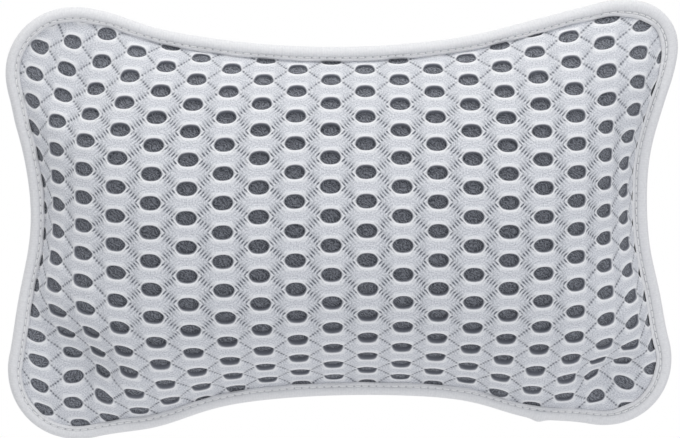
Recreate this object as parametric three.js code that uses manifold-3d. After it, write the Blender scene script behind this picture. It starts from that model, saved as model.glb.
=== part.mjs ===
// A bath pillow: a crowned cushion with four corner lobes, held on the bath by four suction cups.
// Millimetres. X is to the right seen from the front, Y runs from the bather to the bath wall, Z is up.
// The origin is on the bath wall, at the middle of the four cups.
import * as THREE from 'three';
import { mergeVertices } from 'three/addons/utils/BufferGeometryUtils.js';
import Module from 'manifold-3d';

const wasm = await Module();
wasm.setup();

// Outline over the binding: round lobes at the corners, the four sides drawn in between them
const pillowWidth = 310;
const pillowHeight = 199;
const lobeRadius = 30;
const topDrawIn = 19;
const bottomDrawIn = 18.3;
const sideDrawIn = 12;

// Crown: how far the face and the back stand out from the seam, and how full the curve is each way
const frontCrown = 38;
const backCrown = 25;
const crownFullnessX = 5.8;
const crownPowerX = 0.8;
const crownFullnessUp = 1.9;
const crownPowerUp = 0.8;
const crownFullnessDown = 3.8;
const crownPowerDown = 1.4;
const wallGap = 2;

// Cover: thickness of each layer in the seam, and what the front layers gain over the filling
const seamGap = 0.3;
const meshThickness = 1.8;
const liningThickness = 0.8;
const backThickness = 1.6;
const pileHeight = 1.5;
const pileRise = 0.4;
const fillingGap = 0.5;

// Binding tape, folded over the edge of the cover and sewn through
const tapeThickness = 0.9;
const tapeWidth = 6.5;
const foldThickness = 1.6;
const foldRound = 2.4;
const threadDiameter = 0.7;
const stitchInset = 4.9;
const threadSides = 5;

// Bands of the cover from the binding inwards, and how finely the soft pieces are drawn
const tapeClearance = 0.6;
const shoulderWidth = 3.6;
const flankWidth = 6.4;
const lobeSteps = 6;
const longSideSteps = 10;
const shortSideSteps = 6;
const foldSteps = 4;
const crownPointSpacing = 24;

// Face mesh: pointed oval holes, every other column half a row lower
const holeLength = 9.4;
const holeHeight = 6.7;
const holeShoulder = 2.4;
const columnSpacing = 16;
const rowSpacing = 13.08;
const firstColumn = 7;
const firstRow = 0.9;
const columnClosing = 0.052;
const rowClosing = 0.057;
const columnBow = 4.4;
const rowSag = 6.8;
const rowLift = 13.8;
const rowLean = -0.015;
const holeMargin = 1;

// Suction cups, their eyelets, washers and patches
const cupInsetX = 13;
const cupInsetZ = 8;
const cupStandOff = 15;
const cupRadius = 23;
const lipWidth = 2.6;
const lipThickness = 0.7;
const cupDepth = 6;
const cupWall = 2.2;
const dishCurve = 1.7;
const dishSteps = 4;
const cupBossRadius = 7;
const neckRadius = 4.1;
const neckClearance = 0.5;
const headRadius = 6.6;
const headThickness = 3.6;
const eyeletWall = 1.2;
const eyeletRadius = 10.5;
const eyeletFlange = 1.4;
const eyeletRoll = 0.9;
const washerThickness = 1.2;
const patchThickness = 0.8;
const patchRadius = 13;
const padBlend = 14;
const padRise = 0.2;
const fitClearance = 0.3;
const holeClearance = 0.6;
const roundSteps = 20;
const tabWidth = 9;
const tabReach = 11;
const tabThickness = 1.3;
const tabLift = 0.4;

// Places worked out from the sizes above
const lobeX = pillowWidth / 2 - lobeRadius;
const lobeZ = pillowHeight / 2 - lobeRadius;
const cupX = lobeX - cupInsetX;
const cupZ = lobeZ - cupInsetZ;
const padRadius = patchRadius + fitClearance;
const boreRadius = neckRadius + neckClearance;
const barrelRadius = boreRadius + eyeletWall;
const panelHoleRadius = barrelRadius + holeClearance;
const rawEdgeInset = foldThickness + seamGap;
const crownInset = tapeWidth + tapeClearance;
const shoulderInset = crownInset + shoulderWidth;
const innerInset = shoulderInset + flankWidth;
const edgeThickness = 2 * tapeThickness + meshThickness + liningThickness + backThickness + 4 * seamGap;
const bindingBackY = -wallGap - backCrown + tapeThickness + seamGap;
const bindingFrontY = bindingBackY - edgeThickness;
const meshOuterY = bindingFrontY + tapeThickness + seamGap;
const backOuterY = bindingBackY - tapeThickness - seamGap;

// The arc of one drawn-in side, tangent to the two lobes beside it
function drawnInArc(halfSpan, drawIn) {
  const reach = (halfSpan ** 2 - drawIn ** 2) / (2 * drawIn);
  return { reach, radius: Math.hypot(halfSpan, reach) - lobeRadius, turn: Math.atan2(halfSpan, reach) };
}
const topArc = drawnInArc(lobeX, topDrawIn);
const bottomArc = drawnInArc(lobeX, bottomDrawIn);
const sideArc = drawnInArc(lobeZ, sideDrawIn);

function arcPoints(centreX, centreZ, radius, from, to, steps) {
  return Array.from({ length: steps }, (_, i) => {
    const angle = from + (to - from) * i / steps;
    return new THREE.Vector2(centreX + radius * Math.cos(angle), centreZ + radius * Math.sin(angle));
  });
}

// The outline moved in by `inset`, anticlockwise from the foot of the right-hand side
function ring(inset) {
  const lobe = lobeRadius - inset;
  const quarter = Math.PI / 2;
  const sideX = lobeX + sideArc.reach;
  const topZ = lobeZ + topArc.reach;
  const bottomZ = -lobeZ - bottomArc.reach;
  const sideR = sideArc.radius + inset;
  const topR = topArc.radius + inset;
  const bottomR = bottomArc.radius + inset;
  return [
    ...arcPoints(sideX, 0, sideR, Math.PI + sideArc.turn, Math.PI - sideArc.turn, shortSideSteps),
    ...arcPoints(lobeX, lobeZ, lobe, -sideArc.turn, quarter + topArc.turn, lobeSteps),
    ...arcPoints(0, topZ, topR, -quarter + topArc.turn, -quarter - topArc.turn, longSideSteps),
    ...arcPoints(-lobeX, lobeZ, lobe, quarter - topArc.turn, Math.PI + sideArc.turn, lobeSteps),
    ...arcPoints(-sideX, 0, sideR, sideArc.turn, -sideArc.turn, shortSideSteps),
    ...arcPoints(-lobeX, -lobeZ, lobe, Math.PI - sideArc.turn, 3 * quarter + bottomArc.turn, lobeSteps),
    ...arcPoints(0, bottomZ, bottomR, quarter + bottomArc.turn, quarter - bottomArc.turn, longSideSteps),
    ...arcPoints(lobeX, -lobeZ, lobe, -quarter - bottomArc.turn, sideArc.turn, lobeSteps),
  ];
}

// Half the free width of the cushion at a distance along its other axis, inside the seam
function halfSpan(along, lobeAcross, lobeAlong, arc) {
  const lobe = lobeRadius - crownInset;
  const radius = arc.radius + crownInset;
  const distance = Math.abs(along);
  if (distance <= lobeAlong - lobe * Math.sin(arc.turn)) {
    return lobeAcross + arc.reach - Math.sqrt(radius ** 2 - distance ** 2);
  }
  return lobeAcross + Math.sqrt(Math.max(0, lobe ** 2 - (distance - lobeAlong) ** 2));
}

// The crown as a share of its full height: 1 in the middle, 0 along the seam, low out in the lobes.
// The filling sinks, so the lower half is the fuller one and turns in steeply to its seam.
function crown(x, z) {
  const shareX = Math.abs(x) / halfSpan(z, lobeX, lobeZ, sideArc);
  const fallX = Math.max(0, 1 - shareX ** crownFullnessX) ** crownPowerX;
  if (z > 0) {
    const shareUp = z / halfSpan(x, lobeZ, lobeX, topArc);
    return fallX * Math.max(0, 1 - shareUp ** crownFullnessUp) ** crownPowerUp;
  }
  const shareDown = -z / halfSpan(x, lobeZ, lobeX, bottomArc);
  return fallX * Math.max(0, 1 - shareDown ** crownFullnessDown) ** crownPowerDown;
}

// How far a point is inside the flat pad that each patch makes in the back: 1 on the pad, 0 away from it
function padShare(x, z) {
  const distance = Math.hypot(Math.abs(x) - cupX, Math.abs(z) - cupZ);
  const offSeam = THREE.MathUtils.smoothstep(crown(x, z), 0, padRise);
  return offSeam * (1 - THREE.MathUtils.smoothstep(distance, padRadius, padRadius + padBlend));
}

// The layers from front to back. The pile that holds the face off the lining is pressed flat in the seam.
const meshOuter = (x, z) => meshOuterY - frontCrown * crown(x, z);
const meshInner = (x, z) => meshOuter(x, z) + meshThickness;
const pile = (x, z) => pileHeight * THREE.MathUtils.smoothstep(crown(x, z), 0, pileRise);
const liningOuter = (x, z) => meshInner(x, z) + seamGap + pile(x, z);
const liningInner = (x, z) => liningOuter(x, z) + liningThickness;
const backOuter = (x, z) =>
  THREE.MathUtils.lerp(backOuterY + backCrown * crown(x, z), -cupStandOff, padShare(x, z));
const backInner = (x, z) => backOuter(x, z) - backThickness;
const fillingFront = (x, z) => liningInner(x, z) + fillingGap;
const fillingBack = (x, z) => backInner(x, z) - fillingGap;

function area(a, b, c) {
  return (b.x - a.x) * (c.y - a.y) - (b.y - a.y) * (c.x - a.x);
}

function holds(points, [a, b, c], point) {
  const sides = [[a, b], [b, c], [c, a]];
  return sides.every(([from, to]) => area(points[from], points[to], point) >= 0);
}

// Above zero where d lies inside the circle through a, b and c
function insideCircle(a, b, c, d) {
  const rows = [a, b, c].map((p) => [p.x - d.x, p.y - d.y, (p.x - d.x) ** 2 + (p.y - d.y) ** 2]);
  return new THREE.Matrix3().set(...rows.flat()).determinant();
}

// Swaps the shared side of two triangles wherever that makes the pair rounder
function roundTriangles(points, triangles) {
  let swapped = true;
  while (swapped) {
    swapped = false;
    const across = new Map();
    triangles.forEach(([a, b, c], t) => {
      across.set(a * points.length + b, [t, c]);
      across.set(b * points.length + c, [t, a]);
      across.set(c * points.length + a, [t, b]);
    });
    const touched = new Set();
    for (const [side, [t, c]] of across) {
      const a = Math.floor(side / points.length);
      const b = side % points.length;
      const twin = across.get(b * points.length + a);
      if (!twin || touched.has(t) || touched.has(twin[0])) continue;
      const d = twin[1];
      const [pa, pb, pc, pd] = [a, b, c, d].map((i) => points[i]);
      if (insideCircle(pa, pb, pc, pd) < 1e-6) continue;
      if (area(pc, pa, pd) < 1e-6 || area(pc, pd, pb) < 1e-6) continue;
      triangles[t] = [c, a, d];
      triangles[twin[0]] = [c, d, b];
      touched.add(t).add(twin[0]);
      swapped = true;
    }
  }
  return triangles;
}

// A flat plan of a panel: bands between its rings, then the space inside the last ring, round its holes
function panelPlan(rings, holes, innerPoints) {
  const points = rings.flat();
  const count = rings[0].length;
  const triangles = [];
  for (let r = 0; r + 1 < rings.length; r += 1) {
    for (let i = 0; i < count; i += 1) {
      const a = r * count + i;
      const b = r * count + (i + 1) % count;
      triangles.push([a, b, b + count], [a, b + count, a + count]);
    }
  }
  const first = (rings.length - 1) * count;
  const inner = [...rings.at(-1), ...holes.flat(), ...innerPoints];
  const faces = THREE.ShapeUtils.triangulateShape(rings.at(-1), holes).map(([a, b, c]) =>
    area(inner[a], inner[b], inner[c]) > 0 ? [a, b, c] : [a, c, b]);
  for (let i = inner.length - innerPoints.length; i < inner.length; i += 1) {
    const [a, b, c] = faces.splice(faces.findIndex((face) => holds(inner, face, inner[i])), 1)[0];
    faces.push([a, b, i], [b, c, i], [c, a, i]);
  }
  const rounded = roundTriangles(inner, faces);
  triangles.push(...rounded.map((face) => face.map((i) => first + i)));
  return { points: [...points, ...holes.flat(), ...innerPoints], triangles };
}

// A closed panel over a plan, between a front and a back surface given as heights
function panel(plan, frontY, backY) {
  const count = plan.points.length;
  const position = [];
  for (const surface of [frontY, backY]) {
    for (const { x, y: z } of plan.points) position.push(x, surface(x, z), z);
  }
  const sides = new Set(plan.triangles.flatMap(([a, b, c]) => [`${a} ${b}`, `${b} ${c}`, `${c} ${a}`]));
  const index = [];
  for (const [a, b, c] of plan.triangles) index.push(a, b, c, count + a, count + c, count + b);
  for (const side of sides) {
    const [a, b] = side.split(' ').map(Number);
    if (!sides.has(`${b} ${a}`)) index.push(b, a, count + a, b, count + a, count + b);
  }
  const geometry = new THREE.BufferGeometry();
  geometry.setAttribute('position', new THREE.Float32BufferAttribute(position, 3));
  return geometry.setIndex(index);
}

// A closed loop round the outline, from its section as pairs of inset and Y
function edgeLoop(section) {
  const rings = section.map(([inset]) => ring(inset));
  const steps = rings[0].length;
  const position = [];
  rings.forEach((points, s) => points.forEach(({ x, y: z }) => position.push(x, section[s][1], z)));
  const index = [];
  for (let s = 0; s < section.length; s += 1) {
    for (let i = 0; i < steps; i += 1) {
      const a = s * steps + i;
      const b = s * steps + (i + 1) % steps;
      const c = (s + 1) % section.length * steps + (i + 1) % steps;
      const d = (s + 1) % section.length * steps + i;
      index.push(a, c, b, a, d, c);
    }
  }
  const geometry = new THREE.BufferGeometry();
  geometry.setAttribute('position', new THREE.Float32BufferAttribute(position, 3));
  return geometry.setIndex(index);
}

// A turned piece about Y from its profile of radius and Y pairs
function turned(profile) {
  return new THREE.LatheGeometry(profile.map(([r, y]) => new THREE.Vector2(r, y)), roundSteps);
}

function toSolid(geometry) {
  const bare = geometry.clone();
  bare.deleteAttribute('normal');
  bare.deleteAttribute('uv');
  const welded = mergeVertices(bare, 1e-4);
  const vertProperties = welded.getAttribute('position').array;
  const triVerts = new Uint32Array(welded.getIndex().array);
  return new wasm.Manifold(new wasm.Mesh({ numProp: 3, vertProperties, triVerts }));
}

function toGeometry(solid) {
  const mesh = solid.getMesh();
  const geometry = new THREE.BufferGeometry();
  geometry.setAttribute('position', new THREE.Float32BufferAttribute(mesh.vertProperties, 3));
  geometry.setIndex([...mesh.triVerts]);
  return geometry;
}

const faceKnit = new THREE.MeshStandardMaterial({ color: 0xe4e6eb, roughness: 0.9 });
const darkKnit = new THREE.MeshStandardMaterial({ color: 0x4e5158, roughness: 0.95 });
const tape = new THREE.MeshStandardMaterial({ color: 0xf0f0f1, roughness: 0.85 });
const thread = new THREE.MeshStandardMaterial({ color: 0xf6f6f6, roughness: 0.7 });
const fibre = new THREE.MeshStandardMaterial({ color: 0xf3f2ee, roughness: 1 });
const backKnit = new THREE.MeshStandardMaterial({ color: 0xe6e7ea, roughness: 0.9 });
const patchFelt = new THREE.MeshStandardMaterial({ color: 0xdcdcda, roughness: 0.95 });
const whitePlastic = new THREE.MeshStandardMaterial({ color: 0xeeeeec, roughness: 0.35 });
const clearVinyl = new THREE.MeshStandardMaterial({ color: 0xd5dde0, roughness: 0.15 });

const pillow = new THREE.Group();
pillow.name = 'bath_pillow';
function add(name, geometry, material, parent = pillow) {
  geometry.computeVertexNormals();
  const mesh = new THREE.Mesh(geometry, material.clone());
  mesh.name = name;
  parent.add(mesh);
}

// Places of the four cups, named as seen from the front
const corners = [
  { name: 'top_left', x: -cupX, z: cupZ },
  { name: 'top_right', x: cupX, z: cupZ },
  { name: 'bottom_left', x: -cupX, z: -cupZ },
  { name: 'bottom_right', x: cupX, z: -cupZ },
];

// Tests a point of the plan against a closed ring of points
function isInside({ x, y }, points) {
  let inside = false;
  points.forEach((p, i) => {
    const q = points.at(i - 1);
    if (p.y > y !== q.y > y && x < p.x + (q.x - p.x) * (y - p.y) / (q.y - p.y)) inside = !inside;
  });
  return inside;
}

// Points that hold the crown's curve inside the last ring, clear of it and of the four pads. They are set
// off the middle a little, so that none falls on a line between two points of the rings.
const innerRing = ring(innerInset);
const crownPoints = [];
const crownRim = ring(innerInset + crownPointSpacing / 3);
const crownColumns = Math.ceil(pillowWidth / crownPointSpacing);
const crownRowSpacing = crownPointSpacing * Math.sqrt(0.75);
for (let i = -crownColumns; i <= crownColumns; i += 1) {
  for (let j = -crownColumns; j <= crownColumns; j += 1) {
    const across = i + j % 2 / 2 + 1 / 7;
    const point = new THREE.Vector2(across * crownPointSpacing, (j + 1 / 11) * crownRowSpacing);
    const padEdge = padRadius + crownPointSpacing / 4;
    const onPad = corners.some(({ x, z }) => Math.hypot(point.x - x, point.y - z) < padEdge);
    if (!onPad && isInside(point, crownRim)) crownPoints.push(point);
  }
}
const padSteps = roundSteps / 2;
const fullTurn = 2 * Math.PI;
const halfStep = fullTurn / padSteps / 2;
const padRims = corners.map(({ x, z }) => arcPoints(x, z, padRadius, 0, fullTurn, padSteps));
const panelHoles = corners.map(({ x, z }) =>
  arcPoints(x, z, panelHoleRadius, halfStep, halfStep + fullTurn, padSteps));
const coverPoints = [...crownPoints, ...padRims.flat()];
const coverRings = [rawEdgeInset, crownInset, shoulderInset].map(ring);

// Length of the face over the crown along one axis, run back into a distance on the plan
function runOut(length, heightAt) {
  const step = 1;
  let run = 0;
  let distance = 0;
  while (run < Math.abs(length) && distance < pillowWidth) {
    const from = Math.sign(length) * distance;
    const rise = frontCrown * (heightAt(from + Math.sign(length) * step) - heightAt(from));
    const stretch = Math.hypot(step, rise);
    distance += step * Math.min(1, (Math.abs(length) - run) / stretch);
    run += stretch;
  }
  return Math.sign(length) * distance;
}

// The place on the plan of a point of the flat face knit laid over the crown. The knit is stretched tightest in
// the middle, so its columns close up and bow towards the top and bottom, and its rows towards the sides.
function layOver(across, up) {
  const wide = across / (pillowWidth / 2);
  const tall = up / (pillowHeight / 2);
  const lengthX = across * (1 - columnClosing * tall ** 2) + columnBow * tall ** 2;
  const bow = rowLift * wide ** 4 - rowSag * wide ** 2;
  const lengthZ = up * (1 - rowClosing * wide ** 2) + bow + rowLean * across;
  const point = new THREE.Vector2(lengthX, lengthZ);
  for (let pass = 0; pass < 6; pass += 1) {
    point.x = runOut(lengthX, (x) => crown(x, point.y));
    point.y = runOut(lengthZ, (z) => crown(point.x, z));
  }
  return point;
}

// The holes of the face knit: one pointed oval for each place of the staggered lattice
const meshHoles = [];
const holeRim = ring(shoulderInset + holeMargin);
const holeCorners = [
  [holeLength / 2, 0], [holeShoulder, holeHeight / 2], [-holeShoulder, holeHeight / 2],
  [-holeLength / 2, 0], [-holeShoulder, -holeHeight / 2], [holeShoulder, -holeHeight / 2],
];
const holeColumns = Math.ceil(pillowWidth / columnSpacing);
const holeRows = Math.ceil(pillowHeight / rowSpacing);
for (let i = -holeColumns; i <= holeColumns; i += 1) {
  for (let j = -holeRows; j <= holeRows; j += 1) {
    const across = firstColumn + i * columnSpacing;
    const up = firstRow + (j + Math.abs(i % 2) / 2) * rowSpacing;
    const hole = holeCorners.map(([dx, dz]) => layOver(across + dx, up + dz));
    if (hole.every((point) => isInside(point, holeRim))) meshHoles.push(hole);
  }
}

// Cushion: the cover's layers, the filling inside and the binding round the edge
const coverPlan = panelPlan([...coverRings, innerRing], [], [...coverPoints, ...panelHoles.flat()]);
const meshPlan = panelPlan(coverRings, meshHoles, []);

// The filling stops at the shoulder ring, and the back panel is open at its four holes
const shoulderPoint = 2 * innerRing.length;
const firstHolePoint = coverPlan.points.length - panelHoles.flat().length;
const holeOf = (i) => i < firstHolePoint ? -1 - i : Math.floor((i - firstHolePoint) / panelHoles[0].length);
const fillingPlan = {
  points: coverPlan.points,
  triangles: coverPlan.triangles.filter((corner) => Math.min(...corner) >= shoulderPoint),
};
const backPlan = {
  points: coverPlan.points,
  triangles: coverPlan.triangles.filter((corner) => new Set(corner.map(holeOf)).size > 1),
};

// Heights of the fixings, from the wall inwards
const flangeY = -cupStandOff + fitClearance;
const cupSeatY = flangeY + eyeletFlange + fitClearance;
const patchY = -cupStandOff - backThickness - fitClearance;
const washerY = patchY - patchThickness - fitClearance;
const rollY = washerY - washerThickness - fitClearance;
const headY = rollY - eyeletRoll - fitClearance;
const headEndY = headY - headThickness;

// The filling has a pocket over each fixing
let filling = toSolid(panel(fillingPlan, fillingFront, fillingBack));
for (const { x, z } of corners) {
  const depth = -headEndY;
  const pocketRadius = patchRadius + fillingGap;
  const pocket = new THREE.CylinderGeometry(pocketRadius, pocketRadius, depth, roundSteps);
  pocket.translate(x, headEndY - fillingGap + depth / 2, z);
  filling = filling.subtract(toSolid(pocket));
}
add('filling', toGeometry(filling), fibre);
add('front_lining', panel(coverPlan, liningOuter, liningInner), darkKnit);
add('front_face_mesh', panel(meshPlan, meshOuter, meshInner), faceKnit);
add('back_panel', panel(backPlan, backInner, backOuter), backKnit);

// The tape goes round the raw edges in a half oval and lies flat on both sides of the cover
const foldY = (bindingFrontY + bindingBackY) / 2;
const fold = Array.from({ length: foldSteps + 1 }, (_, i) => {
  const angle = Math.PI * i / foldSteps;
  return [foldRound * (1 - Math.sin(angle)), foldY - edgeThickness / 2 * Math.cos(angle)];
});
add('edge_binding', edgeLoop([
  [tapeWidth, bindingFrontY],
  ...fold,
  [tapeWidth, bindingBackY],
  [tapeWidth, bindingBackY - tapeThickness],
  [foldThickness, bindingBackY - tapeThickness],
  [foldThickness, bindingFrontY + tapeThickness],
  [tapeWidth, bindingFrontY + tapeThickness],
]), tape);

function threadLoop(y) {
  const section = Array.from({ length: threadSides }, (_, i) => {
    const angle = 2 * Math.PI * i / threadSides;
    return [stitchInset + threadDiameter / 2 * Math.cos(angle), y - threadDiameter / 2 * Math.sin(angle)];
  });
  return edgeLoop(section);
}
const threadStandOff = seamGap + threadDiameter / 2;
add('needle_thread', threadLoop(bindingFrontY - threadStandOff), thread);
add('bobbin_thread', threadLoop(bindingBackY + threadStandOff), thread);

// Eyelet: flange outside the back panel, barrel through it, end rolled over the washer inside
const eyeletProfile = [
  [boreRadius, rollY - eyeletRoll],
  [barrelRadius + eyeletWall, rollY - eyeletRoll],
  [barrelRadius + eyeletWall, rollY],
  [barrelRadius, rollY],
  [barrelRadius, flangeY],
  [eyeletRadius, flangeY],
  [eyeletRadius - eyeletFlange / 2, flangeY + eyeletFlange],
  [boreRadius, flangeY + eyeletFlange],
  [boreRadius, rollY - eyeletRoll],
];

function flatRing(inner, outer, topY, thickness) {
  return turned([
    [inner, topY - thickness],
    [outer, topY - thickness],
    [outer, topY],
    [inner, topY],
    [inner, topY - thickness],
  ]);
}

// Suction cup: lip flat on the wall, thin dish, boss, neck through the eyelet and button head inside
const dishRadius = cupRadius - lipWidth;
const dishRise = cupDepth + cupWall - lipThickness;
const dishOutside = Array.from({ length: dishSteps + 1 }, (_, i) => {
  const share = i / dishSteps;
  const radius = cupBossRadius + (cupRadius - cupBossRadius) * share;
  return [radius, -lipThickness - dishRise * (1 - share ** dishCurve)];
});
const dishInside = Array.from({ length: dishSteps }, (_, i) => {
  const angle = Math.PI / 2 * i / dishSteps;
  return [dishRadius * Math.cos(angle), -cupDepth * Math.sin(angle)];
});
const cupProfile = [
  [0, headEndY],
  [neckRadius, headEndY],
  [headRadius, headEndY + headThickness / 2],
  [headRadius, headY],
  [neckRadius, headY],
  [neckRadius, cupSeatY],
  [cupBossRadius, cupSeatY],
  ...dishOutside,
  [cupRadius, 0],
  ...dishInside,
  [0, -cupDepth],
];

// Release tab: a tongue with a round end below the lip, lifted just clear of the wall
const tongue = new THREE.Shape();
tongue.moveTo(-tabWidth / 2, dishRadius);
tongue.lineTo(tabWidth / 2, dishRadius);
tongue.lineTo(tabWidth / 2, cupRadius + tabReach - tabWidth / 2);
tongue.absarc(0, cupRadius + tabReach - tabWidth / 2, tabWidth / 2, 0, Math.PI);
const tabSettings = { depth: tabThickness, bevelEnabled: false, curveSegments: 5 };
const tab = new THREE.ExtrudeGeometry(tongue, tabSettings);
tab.rotateX(-Math.PI / 2);
tab.translate(0, -tabLift - tabThickness, 0);

for (const { name, x, z } of corners) {
  const fixing = new THREE.Group();
  fixing.name = `fixing_${name}`;
  fixing.position.set(x, 0, z);
  pillow.add(fixing);
  add(`eyelet_${name}`, turned(eyeletProfile), whitePlastic, fixing);
  add(`washer_${name}`,
    flatRing(barrelRadius + fitClearance, eyeletRadius, washerY, washerThickness), whitePlastic, fixing);
  add(`patch_${name}`,
    flatRing(panelHoleRadius, patchRadius, patchY, patchThickness), patchFelt, fixing);
  const cup = toSolid(turned(cupProfile)).add(toSolid(tab));
  add(`suction_cup_${name}`, toGeometry(cup), clearVinyl, fixing);
}

export default pillow;
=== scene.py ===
import bpy
import mathutils
import numpy as np
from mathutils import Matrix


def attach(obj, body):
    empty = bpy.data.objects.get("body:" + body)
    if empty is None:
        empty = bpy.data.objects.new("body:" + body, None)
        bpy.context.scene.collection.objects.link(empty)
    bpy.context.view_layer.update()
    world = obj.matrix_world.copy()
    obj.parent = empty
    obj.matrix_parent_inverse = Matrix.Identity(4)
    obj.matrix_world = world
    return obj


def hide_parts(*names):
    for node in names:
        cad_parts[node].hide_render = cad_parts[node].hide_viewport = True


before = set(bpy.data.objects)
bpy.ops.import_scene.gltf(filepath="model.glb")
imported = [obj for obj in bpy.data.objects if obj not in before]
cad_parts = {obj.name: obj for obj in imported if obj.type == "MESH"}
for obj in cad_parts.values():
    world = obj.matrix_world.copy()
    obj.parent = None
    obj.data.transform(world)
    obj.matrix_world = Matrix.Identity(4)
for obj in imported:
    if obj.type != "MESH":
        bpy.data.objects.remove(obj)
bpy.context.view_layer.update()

# Filling
# The core is loose hollow polyester fibre, blown into the sewn cover until it stands up in a crown.
# Nothing but the cover holds it, and it has a pocket behind each of the four fixings.

MM = 0.001  # sizes are written in millimetres, meshes are in metres
lobe_x, lobe_z, lobe_r = 125.0, 69.5, 30.0  # centres and radius of the four corner lobes
seam_inset = 7.1  # the crown starts this far inside the outline
front_seam, back_seam = -31.8, -27.0  # Y of the cover's two outer faces along the seam
front_rise, back_rise = 38.0, 25.0


def drawn_in(span, depth):
    """Arc of a drawn-in side, tangent to two lobes: its centre lies (span² - depth²) / 2 depth beyond the
    line of the lobes' centres. Gives that reach, the arc's radius and half its angle."""
    reach = (span**2 - depth**2) / (2 * depth)
    return reach, np.hypot(span, reach) - lobe_r, np.arctan2(span, reach)


top_arc, bottom_arc, side_arc = drawn_in(lobe_x, 19.0), drawn_in(lobe_x, 18.3), drawn_in(lobe_z, 12.0)


def half_span(along, across_lobe, along_lobe, arc):
    """Half the width inside the seam: the arc's centre less the arc's height between two lobes, and the
    lobe's centre plus the lobe's height beyond."""
    reach, radius, turn = arc
    lobe = lobe_r - seam_inset
    along = np.abs(along)
    on_arc = across_lobe + reach - np.sqrt(np.maximum((radius + seam_inset) ** 2 - along**2, 0))
    on_lobe = across_lobe + np.sqrt(np.maximum(lobe**2 - (along - along_lobe) ** 2, 0))
    return np.where(along <= along_lobe - lobe * np.sin(turn), on_arc, on_lobe)


def crown(x, z):
    """Share of the full height, nought at the seam: (1 - |x / X(z)|^5.8)^0.8 across, times
    (1 - |z / Z(x)|^1.9)^0.8 above the middle and (1 - |z / Z(x)|^3.8)^1.4 below it, where the sunken fibre
    makes the pillow fuller."""
    x_share = np.abs(x) / half_span(z, lobe_x, lobe_z, side_arc)
    up_share = np.abs(z) / half_span(x, lobe_z, lobe_x, top_arc)
    down_share = np.abs(z) / half_span(x, lobe_z, lobe_x, bottom_arc)
    above = np.maximum(1 - up_share**1.9, 0) ** 0.8
    below = np.maximum(1 - down_share**3.8, 0) ** 1.4
    return np.maximum(1 - x_share**5.8, 0) ** 0.8 * np.where(z > 0, above, below)


def smooth(value, low, high):
    """Eased step 3u² - 2u³ from nought at low to one at high."""
    share = np.clip((value - low) / (high - low), 0, 1)
    return share * share * (3 - 2 * share)


def bell(value, place, width):
    """Bell exp(-((value - place) / width)²), one at its place."""
    return np.exp(-(((value - place) / width) ** 2))


# Creases of the full corners: a point on each, its direction, its depth and the drop beyond it as shares of
# the height, half its width and half its length
creases = (
    ((-126.8, -56.1), (0.7, -0.71), 0.48, 0.74, 14.0, 25.5),
    ((123.4, -71.4), (0.91, 0.42), 0.48, 0.75, 10.0, 15.0),
    ((121.0, 50.0), (-0.45, 0.89), 0.14, 0.0, 9.0, 40.0),
    ((-110.0, 71.5), (-0.525, -0.851), 0.15, 0.57, 11.0, 27.0),
)


def front_height(x, z):
    """Rise of the front over its seam: 38 mm times the crown, times
    1 - (depth exp(-(d / w)²) + drop (1 + tanh(d / w)) / 2) exp(-(l / len)⁴) for each crease at distance d
    across it and l along it, with a slow ripple where the fibre is uneven."""
    height = front_rise * crown(x, z)
    for (at_x, at_z), (along_x, along_z), depth, drop, width, length in creases:
        along = (x - at_x) * along_x + (z - at_z) * along_z
        across = (x - at_x) * along_z - (z - at_z) * along_x
        fold = depth * bell(across, 0, width) + drop * (1 + np.tanh(across / width)) / 2
        height = height * (1 - fold * np.exp(-((along / length) ** 4)))
    ripple = np.sin(x / 13 + 0.8) * np.sin(z / 17 + 2.1) + 0.7 * np.sin(x / 29 - z / 19)
    return height + 0.45 * ripple * np.sqrt(height / front_rise)


def filled_out(points):
    """The edge as the filling pushes it out of its sewn arcs: moves of up to 4.5 mm outwards along each side,
    each a sum of bells and eased steps, full on the binding and eased to nought 28 mm inside the seam."""
    ease = 28.0
    x, z = points[:, 0], points[:, 2]
    at_side = 1 - smooth(half_span(z, lobe_x, lobe_z, side_arc) - np.abs(x), 0, ease)
    at_top = 1 - smooth(half_span(x, lobe_z, lobe_x, top_arc) - z, 0, ease)
    at_foot = 1 - smooth(half_span(x, lobe_z, lobe_x, bottom_arc) + z, 0, ease)
    left = 4.1 * bell(z, -35, 28) - 1.9 * smooth(z, 45, 65)
    right = 2.3 * bell(z, -37, 20) - 1.7 * bell(z, 30, 25) + 3.7 * smooth(z, 62, 90)
    foot = 4.0 * bell(x, -88, 22) + 4.5 * bell(x, 87, 22) + 1.0 * bell(x, 10, 60)
    top = 2.0 * bell(x, -105, 14) + 1.4 * smooth(x, 50, 95) + 1.8 * smooth(x, 125, 145)
    moved_x = at_side * np.where(x < 0, -left, right)
    return points + np.stack([moved_x, 0 * x, at_top * top - at_foot * foot], -1)


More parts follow.
